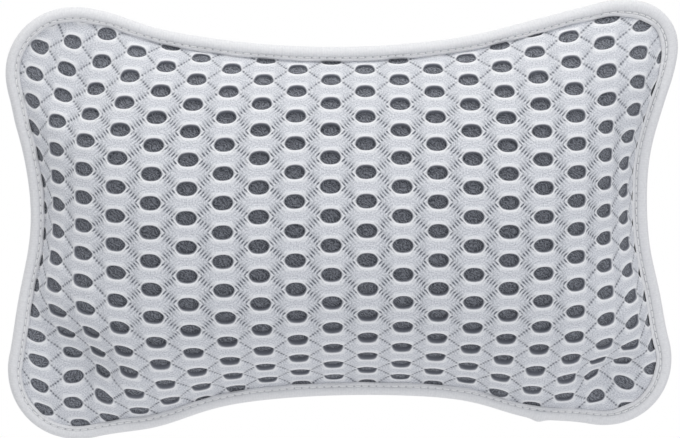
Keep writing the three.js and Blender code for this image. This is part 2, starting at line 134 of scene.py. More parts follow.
def outline(inset, count):
    """Closed outline moved in by inset: eight tangent arcs end to end, then points at even distances along
    them. Gives x, z, the outward normal's x and z, and the distance run."""
    quarter, lobe = np.pi / 2, lobe_r - inset
    s_reach, s_radius, s_turn = side_arc
    t_reach, t_radius, t_turn = top_arc
    b_reach, b_radius, b_turn = bottom_arc
    side_x, top_z, bottom_z = lobe_x + s_reach, lobe_z + t_reach, -lobe_z - b_reach
    arcs = (
        (side_x, 0, s_radius + inset, np.pi + s_turn, np.pi - s_turn),
        (lobe_x, lobe_z, lobe, -s_turn, quarter + t_turn),
        (0, top_z, t_radius + inset, -quarter + t_turn, -quarter - t_turn),
        (-lobe_x, lobe_z, lobe, quarter - t_turn, np.pi + s_turn),
        (-side_x, 0, s_radius + inset, s_turn, -s_turn),
        (-lobe_x, -lobe_z, lobe, np.pi - s_turn, 3 * quarter + b_turn),
        (0, bottom_z, b_radius + inset, quarter + b_turn, quarter - b_turn),
        (lobe_x, -lobe_z, lobe, -quarter - b_turn, s_turn),
    )
    share = np.linspace(0, 1, 80, endpoint=False)
    x = np.concatenate([cx + r * np.cos(a + (b - a) * share) for cx, cz, r, a, b in arcs])
    z = np.concatenate([cz + r * np.sin(a + (b - a) * share) for cx, cz, r, a, b in arcs])
    x, z = np.append(x, x[0]), np.append(z, z[0])
    run = np.append(0, np.cumsum(np.hypot(np.diff(x), np.diff(z))))
    even = np.linspace(0, run[-1], count, endpoint=False)
    x, z = np.interp(even, run, x), np.interp(even, run, z)
    dx, dz = np.roll(x, -1) - np.roll(x, 1), np.roll(z, -1) - np.roll(z, 1)
    size = np.hypot(dx, dz)
    return x, z, dz / size, -dx / size, even


def ring_faces(rows, around, closed=False):
    """Quads between rings of points: each ring joined to the next, and the last to the first if closed."""
    row = np.arange(rows if closed else rows - 1)[:, None] * around
    next_row = (row + around) % (rows * around)
    here, beside = np.arange(around), (np.arange(around) + 1) % around
    return np.stack([row + here, row + beside, next_row + beside, next_row + here], -1).reshape(-1, 4)


def disc_faces(rows, around):
    """Faces of rings of points that end in one middle point, the last: quads, then triangles to the middle."""
    rim = (rows - 1) * around + np.arange(around)
    beside = (rows - 1) * around + (np.arange(around) + 1) % around
    fan = np.stack([rim, beside, np.full(around, rows * around)], -1)
    return ring_faces(rows, around).tolist() + fan.tolist()


def linear(colour):
    """sRGB hex colour as linear red, green, blue and alpha."""
    part = np.array([int(colour[i : i + 2], 16) for i in (1, 3, 5)]) / 255
    part = np.where(part <= 0.04045, part / 12.92, ((part + 0.055) / 1.055) ** 2.4)
    return (*part, 1.0)


def add(tree, kind, inputs=(), **settings):
    """Adds one node to a tree: settings are its properties, and each of its inputs, in order or by name, is joined to
    another node's output or given a fixed value."""
    node = tree.nodes.new("ShaderNode" + kind)
    for name, value in settings.items():
        setattr(node, name, value)
    for name, value in inputs.items() if isinstance(inputs, dict) else enumerate(inputs):
        if isinstance(value, bpy.types.NodeSocket):
            tree.links.new(value, node.inputs[name])
        else:
            node.inputs[name].default_value = value
    return node


def finish_of(name):
    """A new material of that name, and its node tree, empty."""
    material = bpy.data.materials.new(name)
    material.use_nodes = True
    material.node_tree.nodes.clear()
    return material, material.node_tree


def dress(tree, finish, height, strength, depth):
    """Ends a material's tree: a bump of the height with that strength and depth, the shader with the finish as its
    inputs, and the output."""
    bump = add(tree, "Bump", {"Height": height, "Strength": strength, "Distance": depth})
    shade = add(tree, "BsdfPrincipled", {**finish, "Normal": bump.outputs["Normal"]})
    add(tree, "OutputMaterial", {"Surface": shade.outputs["BSDF"]})


def make_piece(name, points, faces, material, node, slot, body="pillow", facing=None, uv=None, marks={}):
    """Makes a mesh piece from points in millimetres that stands for a CAD node. A closed piece has its faces
    turned out by the sign of its volume, an open one turned towards the direction given as facing."""
    points = np.asarray(points, float)
    fan = np.array([(f[0], f[1], f[2]) for f in faces] + [(f[0], f[2], f[3]) for f in faces if len(f) == 4])
    a, b, c = points[fan[:, 0]], points[fan[:, 1]], points[fan[:, 2]]
    normal = np.cross(b - a, c - a)
    sense = (normal @ np.array(facing)).sum() if facing else (a * normal).sum()
    if sense < 0:
        faces = [f[::-1] for f in faces]
    mesh = bpy.data.meshes.new(name)
    mesh.from_pydata((points * MM).tolist(), [], faces)
    mesh.polygons.foreach_set("use_smooth", np.ones(len(faces), bool))
    if uv is not None:
        corner = np.empty(len(mesh.loops), int)
        mesh.loops.foreach_get("vertex_index", corner)
        mesh.uv_layers.new(name="cloth").data.foreach_set("uv", uv[corner].ravel())
    for mark, value in marks.items():
        mesh.attributes.new(mark, "FLOAT", "POINT").data.foreach_set("value", np.asarray(value, np.float32))
    mesh.materials.append(material)
    mesh.update()
    piece = bpy.data.objects.new(name, mesh)
    bpy.context.scene.collection.objects.link(piece)
    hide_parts(node)
    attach(piece, body)
    return piece


# Hollow polyester fibre: matt, off-white, with a fleece of fine tangled tufts
fibre, tree = finish_of("hollow polyester fibre")
tuft_size = 2.38 * MM
place = add(tree, "TexCoord").outputs["Object"]
tufts = {"Vector": place, "Scale": 1 / tuft_size, "Detail": 4.0, "Distortion": 1.6}
tangle = add(tree, "TexNoise", tufts).outputs["Fac"]
tint = add(tree, "Mix", {"Factor": tangle, "A": linear("#e4e2dc"), "B": linear("#f6f5f2")}, data_type="RGBA")
finish = {"Base Color": tint.outputs["Result"], "Roughness": 1.0, "Sheen Weight": 0.4}
dress(tree, finish, tangle, strength=0.6, depth=0.6 * MM)

cup_x, cup_z = 112.0, 61.5  # places of the four fixings
corners = {"top_left": (-1, 1), "top_right": (1, 1), "bottom_left": (-1, -1), "bottom_right": (1, -1)}
pad_r, pad_y = 13.3, -15.0  # the back panel lies flat on a pad round each fixing
pocket_r, pocket_y = 13.5, -24.8  # the fibre stands back from the inside of each fixing


def from_fixing(x, z):
    """Distance on the plan to the nearest fixing."""
    return np.hypot(np.abs(x) - cup_x, np.abs(z) - cup_z)


def pad_share(x, z):
    """One on the flat pad round each fixing, eased to nought 14 mm outside it and at the seam."""
    return smooth(crown(x, z), 0, 0.2) * (1 - smooth(from_fixing(x, z), pad_r, pad_r + 14))


def back_height(x, z):
    """Y of the back panel's outer face: the seam plus 25 mm times the crown, drawn to the pads' Y on them."""
    pad = pad_share(x, z)
    return (back_seam + back_rise * crown(x, z)) * (1 - pad) + pad_y * pad


core_inset, core_around, core_rows = 10.7, 160, 30
rim_x, rim_z = outline(core_inset, core_around)[:2]
rows = 1 - np.linspace(0, 0.97, core_rows) ** 1.6
plan_x = np.append((rows[:, None] * rim_x).ravel(), 0)
plan_z = np.append((rows[:, None] * rim_z).ravel(), 0)
pocket = 1 - smooth(from_fixing(plan_x, plan_z), pocket_r, pocket_r + 3.5)
under_cover = 3.4 + 4.2 * smooth(crown(plan_x, plan_z), 0, 0.5)
fill_front = front_seam - front_height(plan_x, plan_z) + under_cover
fill_back = back_height(plan_x, plan_z) - 2.1
fill_back = fill_back * (1 - pocket) + np.minimum(fill_back, pocket_y) * pocket
fill_front = np.minimum(fill_front, fill_back - 0.4)
points = np.stack([np.tile(plan_x, 2), np.append(fill_front, fill_back), np.tile(plan_z, 2)], -1)
count = len(plan_x)
front_faces = disc_faces(core_rows, core_around)
back_faces = [[count + i for i in f[::-1]] for f in front_faces]
rim = np.arange(core_around)
wall = np.stack([count + rim, count + np.roll(rim, -1), np.roll(rim, -1), rim], -1).tolist()
faces = front_faces + back_faces + wall
filling = make_piece("filling_core", filled_out(points), faces, fibre, "filling", "hollow_fibre")

# Front lining
# The inner face of the spacer knit, a dense charcoal polyester knit. Upright pile yarns hold it about 2 mm
# behind the face, it is pulled tight over the filling, and its edge is caught in the binding.

plan_half_x, plan_half_z, flat_half = 156, 101, 200  # half sizes of the tables below, one entry to the millimetre
plan_axis_x = np.arange(-plan_half_x, plan_half_x + 1.0)
plan_axis_z = np.arange(-plan_half_z, plan_half_z + 1.0)
flat_axis = np.arange(-flat_half, flat_half + 1.0)


def entry_at(table, row, column):
    """Value of a table at a fractional row and column, straight between its entries."""
    row, column = np.clip(row, 0, table.shape[0] - 1.001), np.clip(column, 0, table.shape[1] - 1.001)
    i, j = row.astype(int), column.astype(int)
    u, v = row - i, column - j
    if table.ndim == 3:
        u, v = u[..., None], v[..., None]
    near = (1 - v) * table[i, j] + v * table[i, j + 1]
    far = (1 - v) * table[i + 1, j] + v * table[i + 1, j + 1]
    return (1 - u) * near + u * far


# Length of cloth from the middle lines out to each point of the plan, and those lengths read the other way
plan_height = front_height(*np.meshgrid(plan_axis_x, plan_axis_z))
run_x = np.cumsum(np.pad(np.hypot(1, np.diff(plan_height, axis=1)), ((0, 0), (1, 0))), axis=1)
run_z = np.cumsum(np.pad(np.hypot(1, np.diff(plan_height, axis=0)), ((1, 0), (0, 0))), axis=0)
run_x, run_z = run_x - run_x[:, [plan_half_x]], run_z - run_z[[plan_half_z]]
x_of_run = np.stack([np.interp(flat_axis, row, plan_axis_x) for row in run_x])
z_of_run = np.stack([np.interp(flat_axis, column, plan_axis_z) for column in run_z.T])


def lay(across, up):
    """Place on the plan of a point of the flat cloth: the x and z at which the lengths of cloth over the crown,
    along X and along Z, are across and up. Found by turns, each time halfway to the new value."""
    x, z = 0.9 * across, 0.85 * up
    for turn in range(24):
        x = 0.5 * x + 0.5 * entry_at(x_of_run, z + plan_half_z, across + flat_half)
        z = 0.5 * z + 0.5 * entry_at(z_of_run, x + plan_half_x, up + flat_half)
    return x, z


# The edge of the flat cloth as a reach from its middle at each angle
cloth_inset = 2.4
edge_x, edge_z = outline(cloth_inset, 720)[:2]
edge_across = entry_at(run_x, edge_z + plan_half_z, edge_x + plan_half_x)
edge_up = entry_at(run_z, edge_z + plan_half_z, edge_x + plan_half_x)
edge_angle = np.arctan2(edge_up, edge_across)
order = np.argsort(edge_angle)
edge_angle, edge_reach = edge_angle[order], np.hypot(edge_across, edge_up)[order]


def share_of_reach(across, up):
    """How far out a point of the flat cloth lies: nought in the middle, one on its edge."""
    reach = np.interp(np.arctan2(up, across), edge_angle, edge_reach, period=2 * np.pi)
    return np.hypot(across, up) / reach


# The cover is swelled by a cloth simulation on a net of 3 mm squares, held along the seam. It starts a little
# low, the filling's pressure blows it out, and the movement is capped and kept as a table over the flat cloth.
net_step, net_half_across, net_half_up = 3.0, 198.0, 150.0
swell_steps, swell_cap = 20, 5.0
net_across, net_up = np.meshgrid(np.arange(-net_half_across, net_half_across + 1, net_step),
                                 np.arange(-net_half_up, net_half_up + 1, net_step))
net_x, net_z = lay(net_across, net_up)
net = np.stack([net_x, front_seam - front_height(net_x, net_z), net_z], -1)
swell = np.zeros_like(net)
inside = share_of_reach(net_across, net_up) < 1.02
knots = np.arange(inside.size).reshape(inside.shape)
squares = np.stack([knots[:-1, :-1], knots[:-1, 1:], knots[1:, 1:], knots[1:, :-1]], -1)
squares = squares[inside[:-1, :-1] & inside[:-1, 1:] & inside[1:, 1:] & inside[1:, :-1]]
used, small = np.unique(squares, return_inverse=True)
start = net.reshape(-1, 3)[used].copy()
low = 0.97 * front_height(start[:, 0], start[:, 2])
start[:, 1] = front_seam - low
mesh = bpy.data.meshes.new("swelling_net")
mesh.from_pydata((start * MM).tolist(), [], small.reshape(-1, 4).tolist())
blown = bpy.data.objects.new("swelling_net", mesh)
bpy.context.scene.collection.objects.link(blown)
seam = blown.vertex_groups.new(name="seam")
seam.add(np.flatnonzero(low < 4.0).tolist(), 1.0, "REPLACE")
cloth = blown.modifiers.new("cover", "CLOTH")
cloth.settings.quality = 6
cloth.settings.mass = 0.15
cloth.settings.tension_stiffness = cloth.settings.compression_stiffness = 30
cloth.settings.shear_stiffness = 12
cloth.settings.bending_stiffness = 4
cloth.settings.use_pressure = True
cloth.settings.uniform_pressure_force = 4
cloth.settings.vertex_group_mass = "seam"
cloth.settings.effector_weights.gravity = 0
cloth.point_cache.frame_start, cloth.point_cache.frame_end = 1, swell_steps
for step in range(1, swell_steps + 1):
    bpy.context.scene.frame_set(step)
shown = blown.evaluated_get(bpy.context.evaluated_depsgraph_get()).to_mesh()
end = np.empty(3 * len(used))
shown.vertices.foreach_get("co", end)
moved = end.reshape(-1, 3) / MM - net.reshape(-1, 3)[used]
length = np.linalg.norm(moved, axis=1, keepdims=True)
swell.reshape(-1, 3)[used] = moved * np.minimum(1, swell_cap / np.maximum(length, 1e-6))
bpy.context.scene.frame_set(1)
bpy.data.objects.remove(blown)
for turn in range(2):
    beside = swell[:-2, 1:-1] + swell[2:, 1:-1] + swell[1:-1, :-2] + swell[1:-1, 2:]
    swell[1:-1, 1:-1] = (swell[1:-1, 1:-1] * 2 + beside) / 6
slope_up, slope_across = np.gradient(net + swell, axis=(0, 1))
outward = np.cross(slope_across, slope_up)
outward *= -np.sign(outward[..., 1:2] + 1e-9)
outward /= np.maximum(np.linalg.norm(outward, axis=-1, keepdims=True), 1e-9)


def on_cover(across, up, proud):
    """Place in space of a point of the flat cloth: laid over the crown, moved with the swelling, and raised
    along the surface's normal by proud. Gives the crown's share of height there too."""
    x, z = lay(across, up)
    row, column = (up + net_half_up) / net_step, (across + net_half_across) / net_step
    lean = entry_at(outward, row, column)
    lean = lean / np.maximum(np.linalg.norm(lean, axis=-1, keepdims=True), 1e-9)
    base = np.stack([x, front_seam - front_height(x, z), z], -1) + entry_at(swell, row, column)
    return base + lean * np.asarray(proud)[..., None], crown(x, z)


# Charcoal polyester knit: matt and dark, with finer flecks and uneven streaks of paler yarn that show in every hole
dark_knit, tree = finish_of("charcoal polyester knit")
streak_pitch, fleck_size = 1.48, 2 / 3
wave_pitch = 0.444  # the bands of a diagonal wave at a scale of one
flat = add(tree, "UVMap", uv_map="cloth").outputs["UV"]
streak = add(tree, "TexWave", {"Vector": flat, "Scale": wave_pitch / streak_pitch, "Distortion": 15.0, "Detail": 3.0,
                               "Detail Scale": 1.1}, wave_type="BANDS", bands_direction="DIAGONAL").outputs["Fac"]
flecks = {"Vector": flat, "Scale": 1 / fleck_size, "Detail": 3.0, "Roughness": 0.7}
fleck = add(tree, "TexNoise", flecks).outputs["Fac"]
height = add(tree, "Math", [streak, 0.24, fleck], operation="MULTIPLY_ADD").outputs[0]
pale = add(tree, "MapRange", {"Value": height, "From Min": 0.4, "From Max": 0.9}).outputs["Result"]
tint = add(tree, "Mix", {"Factor": pale, "A": linear("#383b42"), "B": linear("#a2a5ad")}, data_type="RGBA")
finish = {"Base Color": tint.outputs["Result"], "Roughness": 0.95, "Sheen Weight": 0.15}
dress(tree, finish, height, strength=0.7, depth=0.5 * MM)

lining_around = 200
angle = np.linspace(-np.pi, np.pi, lining_around, endpoint=False)
reach = np.interp(angle, edge_angle, edge_reach, period=2 * np.pi)
rows = 1 - np.linspace(0, 0.985, 54) ** 1.25
across = np.append((rows[:, None] * reach * np.cos(angle)).ravel(), 0)
up = np.append((rows[:, None] * reach * np.sin(angle)).ravel(), 0)
depth = 0.4 + 1.3 * smooth(1 - share_of_reach(across, up), 0.05, 0.5)
points, _ = on_cover(across, up, -depth)
lining = make_piece("front_lining_knit", filled_out(points), disc_faces(len(rows), lining_around), dark_knit,
                    "front_lining", "dark_knit", facing=(0, -1, 0), uv=np.stack([across, up], -1))

# Front face mesh
# The outer face of the spacer knit: white polyester, warp-knitted with a staggered lattice of oval holes.
# The cloth puffs up between the holes, and thin ladders of open loops join each hole to its neighbours.

column_step, row_step, first_column, first_row = 16.0, 13.08, 7.0, 0.9
hole_half, hole_rise = 4.5, 3.1  # half the length and half the height of a hole
hole_power = (0.9, 0.98)  # below one, so the holes are fuller than an ellipse
rim_size = 1.04  # the raised rim as a share of the hole
puff_height, puff_width = 0.95, 1.5
loop_pitch, course_pitch = 1.5, 1.2  # loops along a ladder, and courses of stitches round a hole


def knit_place(across, up):
    """Length of cloth each way at a point of the knit's lattice. The knit is stretched tightest in the middle, so
    its columns close up by 5.2% and bow by (4.4 + 3.8 w²) t² mm towards top and bottom, and lean by
    (3.2 w - 1.3) w t mm. Its rows close up by 5.7%, sag by (6.8 - 1.9 t²) w² and lift by (13.8 - 2 t) w⁴ mm
    towards the sides. Here w and t are shares of half the width and of half the height."""
    wide, tall = across / 155, up / 99.5
    bow = (4.4 + 3.8 * wide**2) * tall**2 + (3.2 * wide - 1.3) * wide * tall
    sag = (6.8 - 1.9 * tall**2) * wide**2 - (13.8 - 2.0 * tall) * wide**4
    return across * (1 - 0.052 * tall**2) + bow, up * (1 - 0.057 * wide**2) - sag - 0.015 * across


def cell_edge():
    """The six-sided cell round a hole, nearer to it than to any other: points along its border, first from the
    right-hand corner, six steps on the level sides and five on the slanted ones, so that neighbours share them."""
    far, high = (column_step**2 + (row_step / 2) ** 2) / (2 * column_step), row_step / 2
    near = column_step - far
    ring = np.array([(far, 0), (near, high), (-near, high), (-far, 0), (-near, -high), (near, -high)])
    steps = (5, 6, 5, 5, 6, 5)
    shares = [np.linspace(0, 1, count, endpoint=False)[:, None] for count in steps]
    return np.concatenate([a + (b - a) * share for a, b, share in zip(ring, np.roll(ring, -1, 0), shares)])


border = cell_edge()
cell_half, cell_rise = 9.3, 6.6  # about half the length and half the height of a cell
turn = np.arctan2(border[:, 1] / cell_rise, border[:, 0] / cell_half)
unit = np.stack([np.cos(turn), np.sin(turn)], -1)
oval = np.array([hole_half, hole_rise]) * np.sign(unit) * np.abs(unit) ** hole_power
# Rings of one cell from the foot of the hole's wall to its border: share of the way out, size of the hole,
# height, share of the puffing, how much painted shade darkens the ring down the hole, and how much painted highlight
# whitens it at the rim
ring_out = np.array([0.0, 0.0, 0.0, 0.08, 0.3, 0.62, 1.0])[:, None, None]
ring_size = np.array([0.97, 0.98, 0.99, *[rim_size] * 4])[:, None, None]
ring_proud = np.array([-1.9, -1.0, -0.1, 0.25, 0.12, 0.0, 0.0])
ring_puff = np.array([0.0, 0.3, 0.8, 1.0, 1.0, 1.0, 1.0])
ring_hole_shade = np.array([1.0, 1.0, 0.9, 0.0, 0.0, 0.0, 0.0])
ring_rim_highlight = np.array([0.0, 0.0, 0.0, 1.0, 0.55, 0.0, 0.0])
cell = oval * ring_size * (1 - ring_out) + border * ring_out
# Painted highlight: the rim is whitened most at the top and bottom of each hole, where light from above catches it
cell_rim_highlight = ring_rim_highlight[:, None] * (0.45 + 0.55 * np.abs(np.sin(turn)) ** 0.7)
cell_from_rim = np.linalg.norm(cell - rim_size * oval, axis=-1) * (ring_out[..., 0] > 0)
column, row = (part.ravel() for part in np.meshgrid(np.arange(-13, 13), np.arange(-11, 12)))
middle = np.stack([first_column + column * column_step, first_row + (row + column % 2 / 2) * row_step], -1)
middle = middle[share_of_reach(*knit_place(*middle.T)) < 1.12]
whole = (len(middle), *cell.shape[:2])
lattice = (middle[:, None, None, :] + cell).reshape(-1, 2)
local = np.abs(np.broadcast_to(cell, (*whole, 2)).reshape(-1, 2))
proud, puffed, hole_shade = (np.broadcast_to(part[:, None], whole).ravel() for part in (ring_proud, ring_puff, ring_hole_shade))
# rim below carries each ring's painted highlight, and from_rim its distance out from the hole's rim
rim, from_rim = (np.broadcast_to(part, whole).ravel() for part in (cell_rim_highlight, cell_from_rim))
quads = (np.arange(len(middle))[:, None, None] * cell[..., 0].size + ring_faces(*cell.shape[:2])).reshape(-1, 4)
# Ladders of loops run from each tip of a hole to the near tips of its neighbours. The cloth puffs up beside them.
ladder = np.array([column_step - 2 * hole_half, row_step / 2])
ladder_length = np.linalg.norm(ladder)
ladder = ladder / ladder_length
from_tip = local - [hole_half, 0]
off_ladder = np.abs(from_tip[:, 1] * ladder[0] - from_tip[:, 0] * ladder[1])
off_ladder = np.where(from_tip @ ladder < 0, np.linalg.norm(from_tip, axis=1), off_ladder)
puff = puff_height * (1 - bell(off_ladder, 0, puff_width))
# Neighbouring cells are joined along their borders, and the cloth is cut to its edge
key = np.round(np.column_stack([lattice, proud]) * 50).astype(int)
_, kept, same = np.unique(key, axis=0, return_index=True, return_inverse=True)
quads = same.ravel()[quads]
run = np.stack(knit_place(*lattice[kept].T), -1)
share = share_of_reach(*run.T)
quads = quads[(share[quads] < 1).any(axis=1)]
run = run / np.maximum(share, 1)[:, None]
raised = (np.maximum(proud, 0) + puff * puffed)[kept] * (0.12 + 0.88 * smooth(1 - share, 0.035, 0.11))
sunk = np.minimum(proud, 0)[kept] * (0.25 + 0.75 * smooth(1 - share, 0.05, 0.5))
points, height = on_cover(*run.T, raised + sunk)
# The knit is drawn open over the top of the crown, and closes where it turns under in the lower half
low_down = 1 - smooth(points[:, 2], -25, 25)
stretch = 0.15 + 0.85 * smooth(height, 0.25 + 0.45 * low_down, 0.75 + 0.2 * low_down)


def swing(tree, value, pitch, operation):
    """Sine or cosine of a value, with one full swing in each pitch."""
    phase = add(tree, "Math", [value, 2 * np.pi / pitch], operation="MULTIPLY").outputs[0]
    return add(tree, "Math", [phase], operation=operation).outputs[0]


# White polyester knit: matt with a slight sheen and a bluish white. The ladders open into rows of dark slots where
# the cloth is stretched, and close to thin grey lines towards the seam. Painted highlight whitens each hole's rim, and
# painted shade darkens the walls down each hole to a mid grey, which also stands for the charcoal lining seen through
# the pile. The lattice is folded into one quarter of a cell, in which all ladders fall on one line, and measured along
# that line and across it.
face_knit, tree = finish_of("white polyester spacer knit")
patch_size, yarn_size = 5 / 3, 2 / 3  # of the uneven stretching, and of the yarn's own roughness
flat = add(tree, "UVMap", uv_map="cloth").outputs["UV"]
moved = add(tree, "VectorMath", [flat, (first_column, first_row, 0)], operation="SUBTRACT").outputs["Vector"]
parts = add(tree, "SeparateXYZ", {"Vector": moved}).outputs
from_column = add(tree, "Math", [parts["X"], column_step], operation="PINGPONG").outputs[0]
from_row = add(tree, "Math", [parts["Y"], row_step / 2], operation="PINGPONG").outputs[0]
folded = add(tree, "CombineXYZ", {"X": from_column, "Y": from_row}).outputs["Vector"]
ladder_middle = (column_step / 2, row_step / 4, 0)
folded = add(tree, "VectorMath", [folded, ladder_middle], operation="SUBTRACT").outputs["Vector"]
on_line, off_line = (ladder[0], ladder[1], 0), (-ladder[1], ladder[0], 0)
along = add(tree, "VectorMath", [folded, on_line], operation="DOT_PRODUCT").outputs["Value"]
side = add(tree, "VectorMath", [folded, off_line], operation="DOT_PRODUCT").outputs["Value"]
side = add(tree, "Math", [side], operation="ABSOLUTE").outputs[0]
# Each range below is given as a value, where it starts and ends, and what it then goes from and to
ladder_end = ladder_length / 2
from_middle = add(tree, "Math", [along], operation="ABSOLUTE").outputs[0]
begun = add(tree, "MapRange", [from_middle, ladder_end - 1.2, ladder_end - 0.2, 1.0, 0.0]).outputs["Result"]
wave = swing(tree, along, loop_pitch, "COSINE")
rung = add(tree, "MapRange", [wave, -0.3, 0.5]).outputs["Result"]
slot_edge = add(tree, "MapRange", [side, 0.75, 1.25, 1.0, 0.5]).outputs["Result"]
slot_end = add(tree, "MapRange", [side, 1.0, 4.2, 1.0, 0.0]).outputs["Result"]
slot = begun
for factor in (rung, slot_edge, slot_end):
    slot = add(tree, "Math", [slot, factor], operation="MULTIPLY").outputs[0]
line_edge = add(tree, "MapRange", [side, 0.15, 0.7, 0.75, 0.0]).outputs["Result"]
line_beat = add(tree, "MapRange", [wave, -0.5, 0.5, 0.55, 1.2]).outputs["Result"]
line = begun
for factor in (line_edge, line_beat):
    line = add(tree, "Math", [line, factor], operation="MULTIPLY").outputs[0]
drawn = add(tree, "Attribute", attribute_name="stretch").outputs["Fac"]
opened = add(tree, "Mix", {"Factor": drawn, "A": line, "B": slot}, data_type="FLOAT").outputs["Result"]
patch = add(tree, "TexNoise", {"Vector": flat, "Scale": 1 / patch_size, "Detail": 2.0}).outputs["Fac"]
uneven = add(tree, "MapRange", [patch, 0.3, 0.7, 0.35, 1.45]).outputs["Result"]
opened = add(tree, "Math", [opened, uneven], operation="MULTIPLY").outputs[0]
rim_distance = add(tree, "Attribute", attribute_name="from_rim").outputs["Fac"]
course = swing(tree, rim_distance, course_pitch, "COSINE")
yarn = add(tree, "TexNoise", {"Vector": flat, "Scale": 1 / yarn_size, "Detail": 2.0, "Roughness": 0.7}).outputs["Fac"]
yarn = add(tree, "Math", [course, 0.04, yarn], operation="MULTIPLY_ADD").outputs[0]
relief = add(tree, "Math", [opened, -1.2, yarn], operation="MULTIPLY_ADD").outputs[0]
pale = add(tree, "MapRange", [yarn, 0.3, 0.7]).outputs["Result"]
# Marks from the mesh: rim is the painted highlight round each hole, depth the painted shade down its wall
painted_rim_highlight, painted_hole_shade = (add(tree, "Attribute", attribute_name=mark).outputs["Fac"] for mark in ("rim", "depth"))
tint = linear("#b7bac1")
for over, colour in ((pale, "#eff0f4"), (painted_rim_highlight, "#fcfcfd"), (opened, "#6d717a"), (painted_hole_shade, "#70737c")):
    tint = add(tree, "Mix", {"Factor": over, "A": tint, "B": linear(colour)}, data_type="RGBA").outputs["Result"]
finish = {"Base Color": tint, "Roughness": 0.85, "Sheen Weight": 0.1, "Sheen Roughness": 0.5}
dress(tree, finish, relief, strength=0.5, depth=0.5 * MM)

# Its marks carry the painted highlight at the holes' rims (rim) and the painted shade down their walls (depth)
face = make_piece("front_face_knit", filled_out(points), quads.tolist(), face_knit, "front_face_mesh", "face_knit",
                  facing=(0, -1, 0), uv=lattice[kept],
                  marks={"stretch": stretch, "depth": hole_shade[kept], "rim": rim[kept], "from_rim": from_rim[kept]})

# Back panel
# The bath side of the cover: one piece of fine plain white polyester knit, cut to the outline and caught in the
# binding. It has a hole for each fixing, hidden under the eyelet, and lies flat on the stiff patch behind it.

panel_around, panel_hole_r = 260, 7.2
rim_x, rim_z = outline(cloth_inset, panel_around)[:2]
rows = 1 - np.linspace(0, 0.985, 64) ** 1.3
plan_x = np.append((rows[:, None] * rim_x).ravel(), 0)
plan_z = np.append((rows[:, None] * rim_z).ravel(), 0)
off_pads = crown(plan_x, plan_z) * (1 - pad_share(plan_x, plan_z))
ripple = 0.5 * np.sin(plan_x / 15 + 1.3) * np.sin(plan_z / 13 + 0.4) * off_pads
points = np.stack([plan_x, back_height(plan_x, plan_z) + ripple, plan_z], -1)
away = from_fixing(plan_x, plan_z)
faces = [f for f in disc_faces(len(rows), panel_around) if away[f].mean() > panel_hole_r]

# Fine white tricot knit: matt, with upright wales 1.1 mm apart, drawn coarser than the real ones so that they show
back_knit, tree = finish_of("white polyester tricot")
wale_pitch, stitch_length, cloud_size = 1.1 * MM, 1.6 * MM, 100 / 3 * MM
place = add(tree, "TexCoord").outputs["Object"]
parts = add(tree, "SeparateXYZ", {"Vector": place}).outputs
wale = swing(tree, parts["X"], wale_pitch, "SINE")
stitch = swing(tree, parts["Z"], stitch_length, "SINE")
loops = add(tree, "Math", [stitch, 0.5, wale], operation="MULTIPLY_ADD").outputs[0]
cloud = add(tree, "TexNoise", {"Vector": place, "Scale": 1 / cloud_size, "Detail": 3.0}).outputs["Fac"]
loop_share = add(tree, "MapRange", {"Value": loops, "From Min": -1.5, "From Max": 1.5}).outputs["Result"]
cloudy = add(tree, "Math", [loop_share, 0.5, cloud], operation="MULTIPLY_ADD").outputs[0]
pale = add(tree, "MapRange", {"Value": cloudy, "From Min": 0.3}).outputs["Result"]
tint = add(tree, "Mix", {"Factor": pale, "A": linear("#dfe1e5"), "B": linear("#eeeff2")}, data_type="RGBA")
finish = {"Base Color": tint.outputs["Result"], "Roughness": 0.9, "Sheen Weight": 0.15}
dress(tree, finish, loops, strength=0.5, depth=0.3 * MM)

back = make_piece("back_panel_knit", filled_out(points), faces, back_knit, "back_panel", "back_knit", facing=(0, 1, 0))

# Edge binding
# One white brushed tape, folded over the raw edges of all the layers and sewn through them. It puffs up on both
# sides of the stitch line, and its two ends lap on the lower edge, right of the middle.

tape_width, tape_thick = 6.5, 0.9
tape_fold, raw_edge = 2.8, 1.6  # insets of the end of the fold, and of the layers' raw edges inside it
tape_front, tape_back = -33.0, -25.8
tape_middle = (tape_front + tape_back) / 2
stitch_inset, stitch_pitch = 4.9, 3.6
tape_puff, groove_depth = 0.9, 0.4
lap_x, lap_z = 92.0, -90.0


def tape_section():
    """Closed section of the folded tape as pairs of inset and Y: the front strip from its inner edge, half an oval
    round the fold, the back strip, and the same way back along the inside. Each strip's edge is pressed 0.7 mm
    down to the cloth. It rises 0.5 mm in a ridge inside the stitch line, is drawn in at it, and puffs up outside."""
    strip = np.array([6.5, 6.4, 6.1, 5.7, 5.4, 5.15, 5.0, 4.9, 4.75, 4.55, 4.3, 3.8, 3.3])
    from_edge = tape_width - strip
    ridge = 0.5 * np.sin(np.pi * np.clip(from_edge / 1.5, 0, 1)) ** 0.7 - 0.7 * (1 - smooth(from_edge, 0, 0.9))
    puffed = ridge + tape_puff * np.sin(np.pi / 2 * np.clip((4.85 - strip) / 1.4, 0, 1))
    puffed = puffed - groove_depth * bell(strip, stitch_inset, 0.25)
    angle = np.linspace(0, np.pi, 15)
    half = (tape_back - tape_front) / 2 + tape_puff
    fold = np.stack([tape_fold * (1 - np.sin(angle)), tape_middle - half * np.cos(angle)], -1)
    front = np.stack([strip, tape_front - puffed], -1)
    back = np.stack([strip[::-1], tape_back + puffed[::-1]], -1)
    front_inside, back_inside = tape_front + tape_thick, tape_back - tape_thick
    inside = [(tape_width, back_inside), (raw_edge, back_inside), (raw_edge, front_inside), (tape_width, front_inside)]
    return np.concatenate([front, fold, back, inside])


def rolled_in(x, inset):
    """How far the front of the tape is rolled in on to the crown on the right-hand side: 1.6 mm at its inner edge,
    nought at the fold."""
    return 1.6 * smooth(x, 100, 135) * smooth(inset, tape_fold, tape_width)


